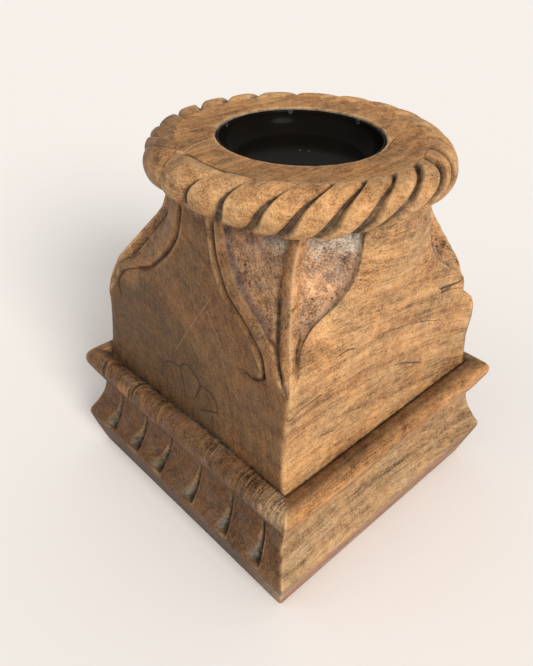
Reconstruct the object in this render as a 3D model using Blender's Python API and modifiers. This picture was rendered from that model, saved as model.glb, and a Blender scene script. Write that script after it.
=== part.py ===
# Carved wooden column base, with a black dish let into its top. Metres, +Z up, origin at the middle
# of the underside. The face towards -Y is the carved one: rolled leaf borders and a row of petals.

import math

import bmesh
import bpy

# Plinth, from the underside up: foot chamfer, hollow cyma and rounded nosing
plinth_width = 0.240
foot_height = 0.034
foot_setback = 0.0085
cyma_height = 0.043
cyma_setback = 0.0145
cyma_power = 1.5
cyma_steps = 6
nosing_radius = 0.0125
nosing_projection = 0.010
nosing_start = math.radians(-62)
nosing_end = math.radians(78)
nosing_steps = 6
edge_wear = 0.0012

# Die: the square block above the plinth, battered up to the neck
die_setback = 0.0145
die_height = 0.0597
junction_depth = 0.0022

# Corner leaves, which turn the square into the round neck
leaf_height = 0.090
leaf_foot_rise = 0.008
leaf_top_drop = 0.010
leaf_fade = 0.018
leaf_rings = 20
leaf_step = 0.0018
rib_width = 0.010
rib_relief = 0.0034
rib_edge_share = 0.25
rib_most = 0.3
panel_margin = 0.00125
panel_margin_most = 0.12
panel_hollow = 0.0016
panel_fade_span = 0.030

# Round neck, set slightly off the plinth's middle, as the carver left it
neck_radius = 0.0884
neck_face_half = 0.033
top_shift_x = 0.0019
top_shift_y = 0.0017

# Rolled border of the leaves on the carved face
border_width = 0.016
border_groove_depth = 0.0028
border_groove_width = 0.005
border_swell = 0.0010
border_step = 0.0030

# Petals of the cyma on the carved face, parted by tear-shaped cuts
end_petal_width = 0.0193
petal_cuts = 6
cut_top_drop = 0.006
cut_foot_gap = 0.0015
cut_top_width = 0.0012
cut_foot_width = 0.012
cut_foot_depth = 0.0055
cut_top_depth = 0.0014
cut_lean = 0.7
cut_flare_power = 3
cut_sections = 6

# Rope ring
rope_radius = 0.0156
rope_gap = 0.0022
strand_count = 24
strand_relief = 0.0038
strand_roundness = 3
strand_lay = math.radians(18)
strand_points = 6
rope_lift = 0.005
rope_foot_angle = math.radians(-82)
rope_top_angle = math.radians(108)
rope_steps = 9

# Flat top ring and the round recess in it
top_rise = 0.0143
top_fillet = 0.0004
recess_radius = 0.0552
recess_depth = 0.0175
recess_sides = 64

# Black dish
dish_side_gap = 0.0007
dish_floor_gap = 0.0003
dish_rim_drop = 0.0015
dish_wall = 0.0012
dish_curve_width = 0.0125
dish_sides = 56
dish_curve_steps = 6

# Widths and heights that follow from the sizes above
arris_half = plinth_width / 2
foot_half = arris_half - foot_setback
waist_half = arris_half - cyma_setback
nosing_half = waist_half + nosing_projection
die_half = nosing_half - die_setback
arris_height = foot_height
waist_height = arris_height + cyma_height
nosing_centre = nosing_half - nosing_radius
nosing_height = waist_height + junction_depth - nosing_radius * math.sin(nosing_start)
die_foot_height = nosing_height + nosing_radius * math.sin(nosing_end) - junction_depth
shoulder_height = die_foot_height + die_height
leaf_foot_height = shoulder_height + leaf_foot_rise
neck_height = shoulder_height + leaf_height
leaf_top_height = neck_height - leaf_top_drop
rope_height = neck_height + rope_gap - rope_radius * math.sin(rope_foot_angle)
rope_ring_radius = neck_radius - rope_radius * math.cos(rope_foot_angle)
top_ring_radius = rope_ring_radius + rope_radius * math.cos(rope_top_angle) - top_fillet
top_height = rope_height + top_rise
petal_pitch = 2 * (waist_half - end_petal_width) / (petal_cuts - 1)


def smooth(t):
    # Eases from 0 to 1 with level ends.
    t = min(max(t, 0.0), 1.0)
    return t * t * (3.0 - 2.0 * t)


def clear_scene():
    for thing in list(bpy.data.objects):
        bpy.data.objects.remove(thing, do_unlink=True)


def make_collection(name):
    group = bpy.data.collections.new(name)
    bpy.context.scene.collection.children.link(group)
    return group


def make_material(name, colour, roughness, metallic):
    material = bpy.data.materials.new(name)
    material.use_nodes = True
    shader = material.node_tree.nodes["Principled BSDF"]
    shader.inputs["Base Color"].default_value = (*colour, 1.0)
    shader.inputs["Roughness"].default_value = roughness
    shader.inputs["Metallic"].default_value = metallic
    material.diffuse_color = (*colour, 1.0)
    return material


def cyma_half(height):
    # Half width of the hollow moulding: the waist, flaring down to the arris.
    drop = max(0.0, (waist_height - height) / (waist_height - arris_height))
    return waist_half + cyma_setback * drop ** cyma_power


def face_half(height):
    # Distance of a face from the axis: a straight batter from the die's foot to the neck.
    rise = (height - die_foot_height) / (neck_height - die_foot_height)
    return die_half + (neck_radius - die_half) * rise


def corner_half(height):
    # Both coordinates of the corner edge: square up to the shoulder, then eased in to the round neck.
    if height <= shoulder_height:
        return face_half(height)
    at_shoulder = face_half(shoulder_height)
    at_neck = neck_radius / math.sqrt(2)
    return at_shoulder - (at_shoulder - at_neck) * smooth((height - shoulder_height)
                                                          / (leaf_top_height - shoulder_height))


def leaf_edge(height):
    # How far along a face, from its middle, the leaf begins.
    at_foot = corner_half(leaf_foot_height) - edge_wear
    edge = at_foot - (at_foot - neck_face_half) * smooth((height - leaf_foot_height)
                                                         / (leaf_top_height - leaf_foot_height))
    return min(edge, corner_half(height) - edge_wear)


def plinth_profile():
    # Half width and height of the plinth's mouldings, from the underside up to the foot of the die.
    profile = [(foot_half, 0.0)]
    for step in range(cyma_steps + 1):
        height = arris_height + (waist_height - arris_height) * step / cyma_steps
        profile.append((cyma_half(height), height))
    for step in range(nosing_steps + 1):
        angle = nosing_start + (nosing_end - nosing_start) * step / nosing_steps
        profile.append((nosing_centre + nosing_radius * math.cos(angle),
                        nosing_height + nosing_radius * math.sin(angle)))
    profile.append((die_half, die_foot_height))
    return profile


def square_section(half, height):
    # A square with its corners worn by a small chamfer, anticlockwise from the corner at +X -Y.
    points = []
    for side in range(4):
        for along in (-half + edge_wear, half - edge_wear):
            points.append(on_side(side, half, along, height))
    return points


def on_side(side, out, along, height):
    # A point at a distance out from the axis and along a side: 0 is +X, 1 is +Y, 2 is -X, 3 is -Y.
    angle = side * math.pi / 2
    return (out * math.cos(angle) - along * math.sin(angle),
            out * math.sin(angle) + along * math.cos(angle), height)


def half_side(height, carved):
    # Points (out, along) of half a side, from its middle to the rib, the corner itself left off.
    face = face_half(height)
    corner = corner_half(height)
    edge = leaf_edge(height)
    roundness = smooth((height - shoulder_height - border_width)
                       / (neck_height - shoulder_height - border_width))

    def on_face(along, relief):
        bow = face - math.sqrt(face * face - along * along)
        return (face - roundness * bow + relief, along)

    fade = smooth((height - shoulder_height) / leaf_fade)
    points = [on_face(0.0, 0.0)]
    if carved:
        groove = edge - border_width
        lip = border_groove_width / 2
        points += [on_face(groove / 2, 0.0), on_face(groove - lip, 0.0),
                   on_face(groove, -border_groove_depth * fade),
                   on_face(groove + lip, border_swell * fade / 2),
                   on_face(edge - border_width / 3, border_swell * fade)]
    else:
        points.append(on_face(edge / 2, 0.0))
    points.append(on_face(edge, 0.0))

    # The panel lies between the leaf's edge and the rib, measured along the diagonal face.
    start = points[-1]
    span = math.hypot(start[0] - corner, start[1] - corner)
    lengthwise = ((start[0] - corner) / span, (start[1] - corner) / span)
    depth = min(1.0, span / panel_fade_span) / math.sqrt(2)

    def on_panel(distance, sunk):
        return (corner + lengthwise[0] * distance - sunk * depth,
                corner + lengthwise[1] * distance - sunk * depth)

    step = border_step if carved else leaf_step
    rib = min(rib_width / 2, span * rib_most)
    margin = min(panel_margin, span * panel_margin_most)
    middle = (span + rib) / 2
    points.append(on_panel(span - margin, step))
    points.append(on_panel(middle, (step + rib_relief) / 2 + panel_hollow))
    points.append(on_panel(rib + margin, rib_relief))
    points.append(on_panel(rib, rib_relief * rib_edge_share))
    return points


def shifted(points, share):
    # Points moved by a share of the neck's set-off from the middle.
    return [(x + top_shift_x * share, y + top_shift_y * share, z) for x, y, z in points]


def leaf_section(height):
    # The whole section at a height in the leaves, anticlockwise from the corner at +X -Y.
    ring = []
    corner = corner_half(height)
    for side in range(4):
        half = half_side(height, carved=(side == 3))
        ring.append(on_side(side, corner, -corner, height))
        ring += [on_side(side, out, -along, height) for out, along in reversed(half[1:])]
        ring += [on_side(side, out, along, height) for out, along in half]
    return shifted(ring, smooth((height - shoulder_height) / leaf_height))


def rope_section(step):
    # One line round the rope: the strands are round-backed and parted by narrow grooves, and each
    # line is turned a little further, so that the grooves slant. Over the middle of each face the
    # rope's underside is cut higher than over the corners.
    share = step / rope_steps
    tilt = rope_foot_angle + (rope_top_angle - rope_foot_angle) * share
    count = strand_count * strand_points
    ring = []
    for number in range(count):
        across = (number % strand_points) / strand_points
        groove = abs(2 * across - 1) ** strand_roundness
        radius = rope_radius - strand_relief * groove
        angle = 2 * math.pi * number / count + strand_lay * (share - 0.5)
        reach = rope_ring_radius + radius * math.cos(tilt)
        lift = rope_lift * (1 + math.cos(4 * angle)) / 2 * (1 - smooth(share))
        ring.append((reach * math.cos(angle), reach * math.sin(angle),
                     rope_height + radius * math.sin(tilt) + lift))
    return shifted(ring, 1.0)


def round_section(radius, height, count, turn):
    return shifted([(radius * math.cos(turn + 2 * math.pi * number / count),
                     radius * math.sin(turn + 2 * math.pi * number / count), height)
                    for number in range(count)], 1.0)


def add_ring(mesh, points):
    return [mesh.verts.new(point) for point in points]


def join_equal(mesh, lower, upper):
    # Faces between two rings with the same number of points.
    count = len(lower)
    for number in range(count):
        after = (number + 1) % count
        mesh.faces.new((lower[number], lower[after], upper[after], upper[number]))


def join_unlike(mesh, lower, upper):
    # Triangles between two rings with different numbers of points, matched by their bearing.
    def by_bearing(ring):
        bearing = [math.atan2(vert.co.y, vert.co.x) for vert in ring]
        first = bearing.index(min(bearing))
        order = ring[first:] + ring[:first]
        return order, sorted(bearing)

    low, low_bearing = by_bearing(lower)
    high, high_bearing = by_bearing(upper)
    low_bearing.append(low_bearing[0] + 2 * math.pi)
    high_bearing.append(high_bearing[0] + 2 * math.pi)
    i = j = 0
    while i < len(low) or j < len(high):
        here, there = low[i % len(low)], high[j % len(high)]
        if j == len(high) or (i < len(low) and low_bearing[i + 1] <= high_bearing[j + 1]):
            mesh.faces.new((here, low[(i + 1) % len(low)], there))
            i += 1
        else:
            mesh.faces.new((here, high[(j + 1) % len(high)], there))
            j += 1


def finish_mesh(mesh, name, group, material, smooth_angle):
    bmesh.ops.recalc_face_normals(mesh, faces=mesh.faces)
    data = bpy.data.meshes.new(name)
    mesh.to_mesh(data)
    mesh.free()
    data.materials.append(material)
    data.shade_smooth()
    data.set_sharp_from_angle(angle=smooth_angle)
    thing = bpy.data.objects.new(name, data)
    group.objects.link(thing)
    return thing


def make_base(group, material):
    # The whole wooden body: a loft through the square, leafed and round sections, closed by the
    # underside, the flat top ring and the recess.
    mesh = bmesh.new()
    squares = [add_ring(mesh, square_section(half, height)) for half, height in plinth_profile()]
    squares.append(add_ring(mesh, square_section(face_half(shoulder_height - edge_wear),
                                                 shoulder_height - edge_wear)))
    mesh.faces.new(squares[0])
    for lower, upper in zip(squares, squares[1:]):
        join_equal(mesh, lower, upper)

    heights = [shoulder_height + (neck_height - shoulder_height) * step / leaf_rings
               for step in range(leaf_rings + 1)]
    leaves = [add_ring(mesh, leaf_section(height)) for height in heights]
    join_unlike(mesh, squares[-1], leaves[0])
    for lower, upper in zip(leaves, leaves[1:]):
        join_equal(mesh, lower, upper)

    rope = [add_ring(mesh, rope_section(step)) for step in range(rope_steps + 1)]
    join_unlike(mesh, leaves[-1], rope[0])
    for lower, upper in zip(rope, rope[1:]):
        join_equal(mesh, lower, upper)

    rim = add_ring(mesh, round_section(top_ring_radius, top_height, len(rope[-1]), strand_lay / 2))
    join_equal(mesh, rope[-1], rim)
    mouth = add_ring(mesh, round_section(recess_radius, top_height, recess_sides, 0.0))
    join_unlike(mesh, rim, mouth)
    floor = add_ring(mesh, round_section(recess_radius, top_height - recess_depth, recess_sides, 0.0))
    join_equal(mesh, mouth, floor)
    mesh.faces.new(floor)
    return finish_mesh(mesh, "carved_base", group, material, math.radians(32))


def make_petal_cutter(group, material):
    # Six tear-shaped wedges down the cyma of the carved face: a thin cut below the nosing that
    # widens and deepens to a triangle just above the arris, steeper on its +X side.
    mesh = bmesh.new()
    top = waist_height - cut_top_drop
    foot = arris_height + cut_foot_gap
    proud = cut_foot_depth
    for number in range(petal_cuts):
        along = (number - (petal_cuts - 1) / 2) * petal_pitch
        rings = []
        for section in range(cut_sections + 1):
            share = section / cut_sections
            height = top + (foot - top) * share
            width = cut_top_width + (cut_foot_width - cut_top_width) * share ** cut_flare_power
            depth = cut_top_depth + (cut_foot_depth - cut_top_depth) * share
            surface = cyma_half(height)
            flare = 1 + proud / depth
            points = [(-width * cut_lean * flare, surface + proud), (0.0, surface - depth),
                      (width * (1 - cut_lean) * flare, surface + proud)]
            rings.append(add_ring(mesh, [on_side(3, out, along + offset, height)
                                         for offset, out in points]))
        for upper, lower in zip(rings, rings[1:]):
            join_equal(mesh, upper, lower)
        mesh.faces.new(rings[0])
        mesh.faces.new(rings[-1])
    return finish_mesh(mesh, "petal_cutter", group, material, math.radians(32))


def make_dish(group, material):
    # A turned shallow dish with a flat floor and a wall that curves up to a plain rim.
    outer = recess_radius - dish_side_gap
    rim = top_height - dish_rim_drop
    under = top_height - recess_depth + dish_floor_gap
    inner = outer - dish_wall
    floor = under + dish_wall
    floor_radius = inner - dish_curve_width
    curve = [(math.sin(math.pi / 2 * step / dish_curve_steps), 1 - math.cos(math.pi / 2 * step
             / dish_curve_steps)) for step in range(dish_curve_steps + 1)]
    inside = [(floor_radius + (inner - floor_radius) * x, floor + (rim - floor) * y)
              for x, y in curve]
    outside = [(floor_radius + (outer - floor_radius) * x, under + (rim - under) * y)
               for x, y in reversed(curve)]
    profile = [(0.0, floor)] + inside + outside + [(0.0, under)]
    data = bpy.data.meshes.new("black_dish")
    data.from_pydata([(x, 0.0, z) for x, z in profile],
                     [(i, i + 1) for i in range(len(profile) - 1)], [])
    data.materials.append(material)
    dish = bpy.data.objects.new("black_dish", data)
    dish.location = (top_shift_x, top_shift_y, 0.0)
    group.objects.link(dish)
    turn = dish.modifiers.new("turn", "SCREW")
    turn.angle = 2 * math.pi
    turn.steps = dish_sides
    turn.render_steps = dish_sides
    turn.use_merge_vertices = True
    turn.merge_threshold = 0.00001
    turn.use_smooth_shade = True
    return dish


def main():
    clear_scene()
    parts = make_collection("carved_wooden_column_base")
    cutters = make_collection("cutters")
    wood = make_material("carved_wood", (0.36, 0.20, 0.10), 0.72, 0.0)
    black = make_material("black_lacquer", (0.012, 0.010, 0.009), 0.12, 0.3)

    base = make_base(parts, wood)
    cutter = make_petal_cutter(cutters, wood)
    cutter.hide_render = True
    cutter.display_type = "WIRE"
    petals = base.modifiers.new("petals", "BOOLEAN")
    petals.operation = "DIFFERENCE"
    petals.solver = "EXACT"
    petals.object = cutter
    make_dish(parts, black)


main()
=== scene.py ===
# Carved wooden column base with a black dish in its top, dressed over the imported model.
# Metres, +Z up. The carved face looks along -Y, the plain one beside it along +X.
import math

import bpy
import numpy as np
from mathutils import Matrix, Vector


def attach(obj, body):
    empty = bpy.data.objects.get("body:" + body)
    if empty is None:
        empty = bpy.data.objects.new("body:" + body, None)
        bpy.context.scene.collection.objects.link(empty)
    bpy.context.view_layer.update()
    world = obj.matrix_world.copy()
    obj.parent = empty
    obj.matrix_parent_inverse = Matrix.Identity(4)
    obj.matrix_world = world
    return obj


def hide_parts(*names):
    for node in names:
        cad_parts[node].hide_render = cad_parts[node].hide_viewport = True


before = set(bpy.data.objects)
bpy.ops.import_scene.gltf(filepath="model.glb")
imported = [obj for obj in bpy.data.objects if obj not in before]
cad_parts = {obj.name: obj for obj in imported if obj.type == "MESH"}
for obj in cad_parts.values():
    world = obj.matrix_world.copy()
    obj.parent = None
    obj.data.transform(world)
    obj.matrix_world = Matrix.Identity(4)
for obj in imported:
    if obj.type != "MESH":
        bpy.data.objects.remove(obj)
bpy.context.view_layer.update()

# Sizes shared by every part of the block
block = {
    "arrisHalf": 0.120, "footHalf": 0.1112, "arrisHeight": 0.0335, "dieHalf": 0.101,
    "dieFootHeight": 0.10026, "neckHeight": 0.24996, "neckRadius": 0.0884,
    "topShift": (0.0019, 0.0017), "shiftFrom": 0.160, "topHeight": 0.28191, "crownTop": 0.28330,
}


def ease(x, start=0.0, width=1.0):
    # 0 to 1 with level ends as x crosses the width: 3t squared minus 2t cubed
    t = np.clip((x - start) / width, 0.0, 1.0)
    return t * t * (3.0 - 2.0 * t)


def bump(x, centre, width):
    # bell curve of the given half width
    return np.exp(-((x - centre) / width) ** 2)


def through(table, x):
    # value at x on a smooth line through (x, value) pairs: each piece is a cubic whose slopes
    # are the means of the straight slopes beside it
    knots = np.array(sorted(table), float)
    px, py = knots[:, 0], knots[:, 1]
    slope = np.diff(py) / np.diff(px)
    ends = np.concatenate([slope[:1], (slope[1:] + slope[:-1]) / 2, slope[-1:]])
    x = np.clip(x, px[0], px[-1])
    i = np.clip(np.searchsorted(px, x, side="right") - 1, 0, len(slope) - 1)
    step = px[i + 1] - px[i]
    t = (x - px[i]) / step
    return ((2 * t ** 3 - 3 * t ** 2 + 1) * py[i] + (t ** 3 - 2 * t ** 2 + t) * step * ends[i]
            + (3 * t ** 2 - 2 * t ** 3) * py[i + 1] + (t ** 3 - t ** 2) * step * ends[i + 1])


def smoothLine(knots, steps=6):
    # points along a smooth curve through the knots: between two of them a cubic whose end slopes
    # are half the span of the neighbours
    p = np.array(knots, float)
    p = np.concatenate([[2 * p[0] - p[1]], p, [2 * p[-1] - p[-2]]])
    t = np.linspace(0, 1, steps, endpoint=False)[:, None, None]
    a, b, c, d = p[:-3], p[1:-2], p[2:-1], p[3:]
    curve = 0.5 * (2 * b + (c - a) * t + (2 * a - 5 * b + 4 * c - d) * t ** 2
                   + (3 * b - a - 3 * c + d) * t ** 3)
    return np.concatenate([curve.transpose(1, 0, 2).reshape(-1, 2), p[-2:-1]])


def cloudNoise(points, size, seed):
    # smooth random field from -1 to 1: values on a lattice of the given cell size, eased between
    table = np.random.default_rng(seed).uniform(-1.0, 1.0, (32, 32, 32))
    p = points / np.asarray(size, float) + 400.37
    cell = np.floor(p).astype(int)
    f = ease(p - cell)
    out = 0.0
    for corner in np.ndindex(2, 2, 2):
        i, j, k = np.moveaxis((cell + corner) % 32, -1, 0)
        out = out + np.where(corner, f, 1 - f).prod(-1) * table[i, j, k]
    return out


def strokeDistance(x, y, knots):
    # signed distance from points to a smooth line through the knots, positive on its left
    line = smoothLine(knots)
    nearest, side = np.full(x.shape, 1e9), np.zeros(x.shape)
    for (ax, ay), (bx, by) in zip(line[:-1], line[1:]):
        length = math.hypot(bx - ax, by - ay)
        ux, uy = (bx - ax) / length, (by - ay) / length
        t = np.clip((x - ax) * ux + (y - ay) * uy, 0.0, length)
        gap = np.hypot(x - ax - t * ux, y - ay - t * uy)
        left = ux * (y - ay) - uy * (x - ax) >= 0
        side = np.where(gap < nearest, np.where(left, gap, -gap), side)
        nearest = np.minimum(gap, nearest)
    return side


def wrapFaces(start, rows, columns):
    # quads between neighbouring rings of one patch, anticlockwise seen from outside
    i, j = np.meshgrid(np.arange(rows - 1), np.arange(columns), indexing="ij")
    k = (j + 1) % columns
    base = start + i * columns
    return np.stack([base + j, base + k, base + columns + k, base + columns + j], -1).reshape(-1, 4)


def zipFaces(lower, lowerTurn, upper, upperTurn):
    # triangles between two rings with different counts: each step along either ring takes the
    # point that the other ring has reached by the same turn
    nextLow = np.append(lowerTurn[1:], 1 + lowerTurn[0])
    nextHigh = np.append(upperTurn[1:], 1 + upperTurn[0])
    reachedHigh = np.searchsorted(nextHigh, nextLow, side="left")
    reachedLow = np.searchsorted(nextLow, nextHigh, side="right")
    first = np.stack([lower, np.roll(lower, -1), upper[reachedHigh % len(upper)]], -1)
    second = np.stack([lower[reachedLow % len(lower)], np.roll(upper, -1), upper], -1)
    return np.concatenate([first, second])


def fanFaces(ring, middle, facingUp):
    # triangles from a ring of points to one in the middle
    ahead = np.roll(ring, -1)
    first, second = (ring, ahead) if facingUp else (ahead, ring)
    return np.stack([first, second, np.full(len(ring), middle)], -1)


def beside(values, around):
    # the neighbours before and after each point: rings are closed, and columns end on themselves
    if around:
        return np.roll(values, 1, 1), np.roll(values, -1, 1)
    return np.concatenate([values[:1], values[:-1]]), np.concatenate([values[1:], values[-1:]])


def gridNormals(points):
    # outward normal of each point: its ring direction crossed with its rising direction
    before, after = beside(points, True)
    normal = np.cross(after - before, np.gradient(points, axis=0))
    return normal / np.maximum(np.linalg.norm(normal, axis=-1, keepdims=True), 1e-12)


def gridBend(points, normal):
    # how sharply the surface bends at each point, in 1/m: positive in hollows, negative on edges
    inside = np.ones((len(points), 1))
    inside[[0, -1]] = 0
    bend = 0.0
    for around, counts in ((True, 1.0), (False, inside)):
        before, after = beside(points, around)
        span = np.sum((after - before) ** 2, -1) / 4 + 1e-9
        bend = bend + counts * np.sum((before + after - 2 * points) * normal, -1) / span
    for around in (True, False, True, False):
        before, after = beside(bend, around)
        bend = (before + after + 2 * bend) / 4
    return bend


def onSide(side, out, along, z):
    # point at a distance out from the axis and along a side: 0 is +X, 1 +Y, 2 -X, 3 -Y
    c, s = [(1, 0), (0, 1), (-1, 0), (0, -1)][side]
    return np.stack([out * c - along * s, out * s + along * c, np.broadcast_to(z, out.shape)], -1)


def roundNeck(radius, turn, z):
    # point at a distance and a bearing from the neck's own middle
    x, y = block["topShift"]
    shape = np.broadcast(radius, turn).shape
    return np.stack([radius * np.cos(turn) + x, radius * np.sin(turn) + y, np.broadcast_to(z, shape)], -1)


# Die and leaves. Heights and distances from the face's middle are in millimetres.
leaf = {
    # the corner's edge: (height, half width)
    "crestLeft": [(100, 100.5), (120, 98.5), (145, 97), (158, 96.5), (172, 94), (181, 91.5),
                  (189, 88.5), (200, 82), (211, 75.5), (227, 66.5), (250, 62.5)],
    "crestRight": [(100, 101.5), (121, 99.5), (157, 98), (161, 96), (164, 92), (172, 90),
                   (188, 86), (199, 81), (211, 75), (231, 65.5), (250, 62.5)],
    "crestPlain": [(100, 101), (133, 98.2), (155, 96.5), (172, 94.8), (181, 92.3), (188, 88.3),
                   (200, 81.5), (211, 75), (229, 66), (250, 62.5)],
    # the leaf's own edge, where its sunk panel starts: (height, distance)
    "edgeFrontRight": [(158, 97), (172, 94), (182, 90), (191, 82), (197, 74), (203, 65),
                       (208, 55), (212, 47.5), (218, 41), (228, 34.5), (239, 32), (250, 31)],
    "edgeRight": [(158, 97), (168, 93), (177, 88), (187, 77), (196, 63.5), (208, 50),
                  (218, 44), (230, 43), (250, 45)],
    "edgeFrontLeft": [(154, 97), (165, 92.5), (176, 87.5), (186, 81.5), (192, 75.5), (197, 67),
                      (203, 59), (208, 50.5), (215, 42), (221, 36.5), (229, 31), (238, 26.5),
                      (250, 23.5)],
    "edgeLeft": [(158, 97), (170, 92), (184, 87), (190, 77), (197, 65), (207, 54), (219, 45),
                 (228, 40), (250, 33)],
    # the groove outside a rolled border, from the neck down: (distance, height)
    "grooveFrontLeft": [(14.5, 251), (16.5, 242), (19.5, 232), (25, 221), (32.5, 210.5),
                        (44.5, 202.5), (54.5, 196), (64, 189.5), (71, 182), (72.5, 174)],
    "grooveLeft": [(17, 251), (18.5, 238), (20.5, 229.5), (29, 215.5), (39, 204.5),
                   (48.5, 195.5), (57, 191)],
    "grooveDepth": 0.0027, "grooveWidth": 1.25, "bandHeight": 0.0019, "ridgeHeight": 0.0010,
    # heights where each leaf's panel and each corner's rib end, and under which a corner is plain
    "apex": {"edgeFrontLeft": 174, "edgeFrontRight": 178, "edgeLeft": 159, "edgeRight": 158},
    "ribFoot": {"crestPlain": 171, "crestLeft": 156, "crestRight": 156},
    "plainBelow": {"crestPlain": 164, "crestLeft": 147, "crestRight": 147},
    "ribWidth": 0.0052, "ribHeight": 0.0036, "panelDrop": 0.0026, "edgeWear": 0.0009,
    # what differs between the carved side and the others: width of the rib and its greatest share
    # of the panel, depth of the panel and of the trench beside the rib, and the painted shade with dirt in
    # both
    "carved": {"ribSpread": 1.2, "ribShare": 0.8, "sink": 1.3, "trench": 0.0040, "edgeDirt": 0.8,
               "trenchDirt": 1.0},
    "plain": {"ribSpread": 1.0, "ribShare": 0.6, "sink": 1.45, "trench": 0.0016, "edgeDirt": 1.3,
              "trenchDirt": 0.45},
}


def faceHalf(z):
    # distance of a face from the axis: a straight batter from the die's foot to the neck
    rise = (z - block["dieFootHeight"]) / (block["neckHeight"] - block["dieFootHeight"])
    return block["dieHalf"] + (block["neckRadius"] - block["dieHalf"]) * rise


def neckBow(face, along):
    # how far a round neck falls back from a flat face, at a distance from the face's middle
    return face - np.sqrt(face ** 2 - np.minimum(along, face * 0.8) ** 2)


def grooveLine(name, mm):
    # distance of a border's groove from the face's middle at each height
    return through([(up, across) for across, up in leaf[name]], mm) / 1000


def sideColumns(middle, border, panel, rib):
    # fixed places across half a side: 0 to 1 the face, 1 to 2 the border, 2 to 3 the panel,
    # 3 to 4 the rib
    return np.concatenate([np.linspace(0, 1, middle, endpoint=False),
                           1 + np.linspace(0, 1, border, endpoint=False),
                           2 + np.linspace(0, 1, panel, endpoint=False) ** 1.15,
                           3 + np.linspace(0, 1, rib + 1)])


def halfSide(place, z, carved, crest, edge, groove):
    # Half of one side of the die and leaves: a face that is flat below and round at the neck, then
    # a panel that crosses straight to the rib on the corner. Returns the distances out and along,
    # and the masks of painted shade with dirt, panel, rib and panel edge.
    cut = leaf["carved" if carved else "plain"]
    q, h = np.meshgrid(place, z)
    mm = h * 1000
    face = faceHalf(h)
    corner = through(leaf[crest], mm) / 1000
    ribFade = ease(mm, leaf["ribFoot"][crest], 10)
    slim = 0.55 if crest == "crestLeft" else 1.0
    ribHeight = leaf["ribHeight"] * slim * ribFade
    base = corner - ribHeight / math.sqrt(2)
    edgeAt = np.minimum(through(leaf[edge], mm) / 1000, base - 0.0010 - 0.0016 * ribFade)
    grooveAt = grooveLine(groove, mm) if carved else edgeAt - 0.0075
    grooveAt = np.minimum(grooveAt, edgeAt - 0.004)
    start = np.maximum(grooveAt - 0.0065, grooveAt * 0.5)

    along = np.where(q < 1, start * q, start + (edgeAt - start) * np.clip(q - 1, 0, 1))
    roundness = ease(h, 0.176, block["neckHeight"] - 0.176)
    out = face - roundness * neckBow(face, along)

    # the panel, by its distance from the corner: sunk, slightly hollow, with a trench by the rib
    edgeOut = face - roundness * neckBow(face, edgeAt)
    span = np.hypot(edgeOut - base, edgeAt - base)
    ribWidth = np.minimum(leaf["ribWidth"] * slim * cut["ribSpread"], span * cut["ribShare"])
    distance = np.where(q < 3, span + (ribWidth - span) * np.clip(q - 2, 0, 1),
                        ribWidth * (1 - np.clip(q - 3, 0, 1)))
    inner = span - distance
    closing = ease(mm, leaf["apex"][edge] - 1, 5)
    wide = ease(span, 0, 0.020) * closing
    middle = np.clip((distance - ribWidth) / (span - ribWidth), 0, 1)
    trench = bump(distance, ribWidth * 1.18, 0.0017) * ease(span, 0.0015, 0.005) * closing
    fall = (leaf["panelDrop"] * ease(inner, 0, 0.0020) * wide * cut["sink"]
            + 0.0014 * np.sin(math.pi * middle) * wide + trench * cut["trench"])
    rib = ribHeight * np.sqrt(1 - np.minimum(distance / ribWidth, 1) ** 2)
    swell = 0.0018 * roundness * np.sin(math.pi * np.clip(distance / span, 0, 1)) * ease(mm, 225, 25)
    lift = (rib - fall * np.clip(distance / (ribWidth * 0.8), 0, 1) + swell) / math.sqrt(2)
    onPanel = q >= 2
    out = np.where(onPanel, base + (edgeOut - base) / span * distance + lift, out)
    along = np.where(onPanel, base + (edgeAt - base) / span * distance + lift, along)

    # below the leaf the columns spread evenly over the flat face, with a small round at the corner
    even = corner * place / 4
    low = 1 - ease(mm, leaf["plainBelow"][crest], 9)
    wear = leaf["edgeWear"]
    worn = wear * 0.4 * np.clip((even - corner) / wear + 1, 0, 1) ** 2
    flatOut = face - (face - corner) * np.clip(even / corner, 0, 1) ** 6 - worn
    out = out + (flatOut - out) * low
    along = along + (even - worn - along) * low

    # border relief: ridge, groove and rolled band on the carved side, a plain bevel elsewhere
    tilt = 1 / np.sqrt(1 + np.gradient(edgeAt, z, axis=0) ** 2)
    keep = (1 - low) * (1 - onPanel)
    dirt = 0.0
    if carved:
        off = strokeDistance(along * 1000, mm, leaf[groove])
        toEdge = np.maximum((edgeAt - along) * tilt * 1000, 0) + 0.5
        inBand = np.clip(off / (np.maximum(off, 0) + toEdge), 0, 1)
        foot = ease(mm, 173, 9)
        relief = leaf["bandHeight"] * np.sin(math.pi * inBand ** 0.85) * (off > 0) * foot
        relief -= 0.0012 * ease(inBand, 0.86, 0.14) * foot
        relief -= leaf["grooveDepth"] * np.exp(-np.abs(off / leaf["grooveWidth"]) ** 1.5)
        relief += leaf["ridgeHeight"] * bump(off, -3.6, 1.7) * foot
        # painted shade with dirt along the border's groove
        dirt = 0.75 * bump(off, 0.2, 1.0)
    else:
        bevelWidth = (0.0012 + 0.0048 * bump(mm, 200, 15)) / tilt
        relief = -0.0012 * np.clip((along - edgeAt) / bevelWidth + 1, 0, 1) * ease(mm, 176, 10)
    out = out + relief * keep

    panel = onPanel * (1 - low)
    # painted shade with dirt along the panel's edge and in the trench beside the rib
    edgeDirt = bump(inner, 0.0005, 0.0010) * wide * cut["edgeDirt"]
    dirt = dirt * keep + panel * np.maximum(edgeDirt, trench * cut["trenchDirt"])
    panelMask = panel * ease(inner, 0, 0.002) * ease(distance, ribWidth * 0.8, 0.002) * wide
    ribMask = panel * ease(ribWidth * 1.1 - distance, 0, 0.002) * ribFade
    return out, along, dirt, panelMask, ribMask, panel * bump(inner, 0.0015, 0.0028) * wide


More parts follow.
